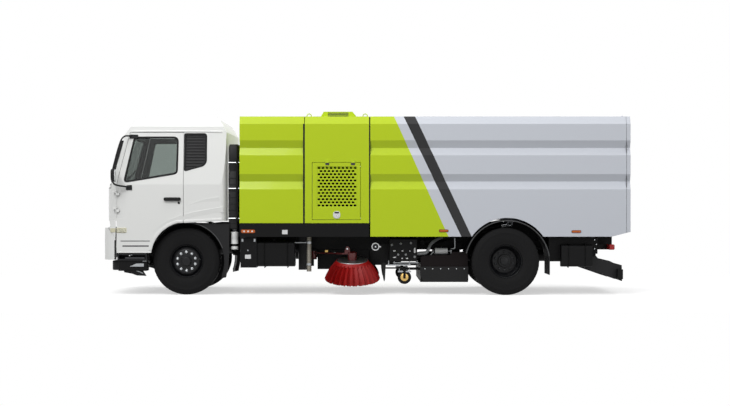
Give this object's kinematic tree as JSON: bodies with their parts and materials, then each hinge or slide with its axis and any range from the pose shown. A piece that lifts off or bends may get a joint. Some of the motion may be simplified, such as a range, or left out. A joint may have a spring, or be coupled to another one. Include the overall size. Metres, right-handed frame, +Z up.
{
  "type": "street sweeper truck",
  "caption": "Two-axle street sweeper truck with tilting cab, ridged tipping hopper, side brushes on swing arms and a lowering suction nozzle.",
  "frame": {"origin": "on the ground under the middle of the truck's box", "axes": "+X towards the tailgate, -Y towards the driver's side (the truck's left), +Z up"},
  "size_m": [8.23, 2.94, 2.908],
  "materials": {
    "white_paint": "gloss",
    "green_paint": "gloss",
    "silver_paint": "gloss",
    "chassis_paint": "satin",
    "red_paint": "gloss",
    "black_plastic": "matte, grained",
    "cab_plastic": "matte, grained",
    "bristle": "brushed bundles",
    "seat_fabric": "woven",
    "tyre_rubber": "matte",
    "wheel_paint": "satin",
    "lamp_clear": "clear, gloss",
    "lamp_red": "gloss",
    "window_glass": "tinted, clear",
    "bright_steel": "turned",
    "zinc": "zinc plated",
    "cast_aluminium": "cast",
    "black_iron": "cast"
  },
  "bodies": {
    "chassis": {"frame_rails": "chassis_paint", "cross_members": "chassis_paint", "front_axle": "chassis_paint", "leaf_springs": "chassis_paint", "rear_axle": "chassis_paint", "engines": "black_iron", "gearbox_and_shaft": "black_iron", "front_bumper": "white_paint", "headlamps": "lamp_clear", "front_spray_bar": "chassis_paint", "cab_steps": "black_plastic", "front_mudguards": "black_plastic", "rear_mudguards": "black_plastic", "fuel_tank": "chassis_paint", "battery_box": "black_plastic", "air_canister": "white_paint", "frame_tanks": "chassis_paint", "exhaust": "chassis_paint", "subframe": "chassis_paint", "water_tank": "green_paint", "engine_housing": "green_paint", "rungs": "bright_steel", "tail_lamps": "lamp_red", "underrun_guard": "chassis_paint", "suction_ducts": "chassis_paint", "hydrant_coupling": "cast_aluminium"},
    "cab": {"cab_shell": "white_paint", "cab_glass": "window_glass", "dashboard": "cab_plastic", "seats": "seat_fabric"},
    "hopper": {"hopper_shell": "silver_paint"},
    "tailgate": {"tailgate": "silver_paint"},
    "tip_barrels": {"tip_barrels": "chassis_paint"},
    "tip_rods": {"tip_rods": "bright_steel"},
    "nozzle": {"nozzle": "chassis_paint", "nozzle_necks": "chassis_paint"},
    "knuckle_left": {"knuckle_left": "chassis_paint"},
    "front_wheel_left": {"front_tyre_left": "tyre_rubber", "front_rim_left": "wheel_paint"},
    "rear_wheel_left": {"rear_tyres_left": "tyre_rubber", "rear_rims_left": "wheel_paint"},
    "door_left": {"door_left": "white_paint", "door_glass_left": "window_glass", "mirror_left": "black_plastic"},
    "engine_flap_left": {"engine_flap_left": "green_paint"},
    "brush_arm_left": {"brush_arm_left": "red_paint"},
    "brush_left": {"brush_left": "bristle"},
    "caster_left": {"caster_left": "black_plastic"},
    "knuckle_right": {"knuckle_right": "chassis_paint"},
    "front_wheel_right": {"front_tyre_right": "tyre_rubber", "front_rim_right": "wheel_paint"},
    "rear_wheel_right": {"rear_tyres_right": "tyre_rubber", "rear_rims_right": "wheel_paint"},
    "door_right": {"door_right": "white_paint", "door_glass_right": "window_glass", "mirror_right": "black_plastic"},
    "engine_flap_right": {"engine_flap_right": "green_paint"},
    "brush_arm_right": {"brush_arm_right": "red_paint"},
    "brush_right": {"brush_right": "bristle"},
    "caster_right": {"caster_right": "black_plastic"}
  },
  "joints": [
    {"name": "cab_tilt", "type": "hinge", "parent": "chassis", "child": "cab", "pos_m": [-3.96, 0, 0.98], "axis": [0, -1, 0], "range_deg": [0, 45]},
    {"name": "hopper_tip", "type": "hinge", "parent": "chassis", "child": "hopper", "pos_m": [3.8, 0, 0.96], "axis": [0, 1, 0], "range_deg": [0, 45]},
    {"name": "tailgate_lift", "type": "hinge", "parent": "hopper", "child": "tailgate", "pos_m": [4.0525, 0, 2.808], "axis": [0, -1, 0], "range_deg": [0, 85]},
    {"name": "cylinder_swing", "type": "hinge", "parent": "chassis", "child": "tip_barrels", "pos_m": [0.9, 0, 0.81], "axis": [0, -1, 0], "range_deg": [0, 22.2]},
    {"name": "cylinder_stroke", "type": "slide", "parent": "tip_barrels", "child": "tip_rods", "axis": [0.9778, 0, 0.2095], "range_m": [0, 0.9213]},
    {"name": "nozzle_lower", "type": "slide", "parent": "chassis", "child": "nozzle", "axis": [0, 0, -1], "range_m": [0, 0.15]},
    {"name": "steer_left", "type": "hinge", "parent": "chassis", "child": "knuckle_left", "pos_m": [-2.825, -0.85, 0.527], "axis": [0, 0, 1], "range_deg": [-35, 35]},
    {"name": "front_roll_left", "type": "hinge", "parent": "knuckle_left", "child": "front_wheel_left", "pos_m": [-2.825, -0.96, 0.527], "axis": [0, 1, 0], "continuous": true},
    {"name": "rear_roll_left", "type": "hinge", "parent": "chassis", "child": "rear_wheel_left", "pos_m": [2.175, -0.93, 0.527], "axis": [0, 1, 0], "continuous": true},
    {"name": "door_swing_left", "type": "hinge", "parent": "cab", "child": "door_left", "pos_m": [-3.909, -1.2, 1.3], "axis": [0, 0, -1], "range_deg": [0, 70]},
    {"name": "flap_lift_left", "type": "hinge", "parent": "chassis", "child": "engine_flap_left", "pos_m": [-0.47, -1.258, 2.072], "axis": [-1, 0, 0], "range_deg": [0, 80]},
    {"name": "arm_swing_left", "type": "hinge", "parent": "chassis", "child": "brush_arm_left", "pos_m": [-0.85, -0.47, 0.608], "axis": [0, 0, -1], "range_deg": [0, 20]},
    {"name": "brush_spin_left", "type": "hinge", "parent": "brush_arm_left", "child": "brush_left", "pos_m": [-0.225, -0.88, 0.545], "axis": [0, -0.2079, 0.9781], "continuous": true},
    {"name": "caster_roll_left", "type": "hinge", "parent": "nozzle", "child": "caster_left", "pos_m": [0.601, -0.86, 0.265], "axis": [0, 1, 0], "continuous": true},
    {"name": "steer_right", "type": "hinge", "parent": "chassis", "child": "knuckle_right", "pos_m": [-2.825, 0.85, 0.527], "axis": [0, 0, 1], "range_deg": [-35, 35]},
    {"name": "front_roll_right", "type": "hinge", "parent": "knuckle_right", "child": "front_wheel_right", "pos_m": [-2.825, 0.96, 0.527], "axis": [0, 1, 0], "continuous": true},
    {"name": "rear_roll_right", "type": "hinge", "parent": "chassis", "child": "rear_wheel_right", "pos_m": [2.175, 0.93, 0.527], "axis": [0, 1, 0], "continuous": true},
    {"name": "door_swing_right", "type": "hinge", "parent": "cab", "child": "door_right", "pos_m": [-3.909, 1.2, 1.3], "axis": [0, 0, 1], "range_deg": [0, 70]},
    {"name": "flap_lift_right", "type": "hinge", "parent": "chassis", "child": "engine_flap_right", "pos_m": [-0.47, 1.258, 2.072], "axis": [1, 0, 0], "range_deg": [0, 80]},
    {"name": "arm_swing_right", "type": "hinge", "parent": "chassis", "child": "brush_arm_right", "pos_m": [-0.85, 0.47, 0.608], "axis": [0, 0, 1], "range_deg": [0, 20]},
    {"name": "brush_spin_right", "type": "hinge", "parent": "brush_arm_right", "child": "brush_right", "pos_m": [-0.225, 0.88, 0.545], "axis": [0, 0.2079, 0.9781], "continuous": true},
    {"name": "caster_roll_right", "type": "hinge", "parent": "nozzle", "child": "caster_right", "pos_m": [0.601, 0.86, 0.265], "axis": [0, 1, 0], "continuous": true}
  ],
  "couplings": [
    {"joint": "steer_right", "follows": "steer_left", "ratio": 1},
    {"joint": "cylinder_swing", "follows": "hopper_tip", "ratio": 0.4888},
    {"joint": "cylinder_stroke", "follows": "hopper_tip", "m_per_rad": 1.168}
  ]
}
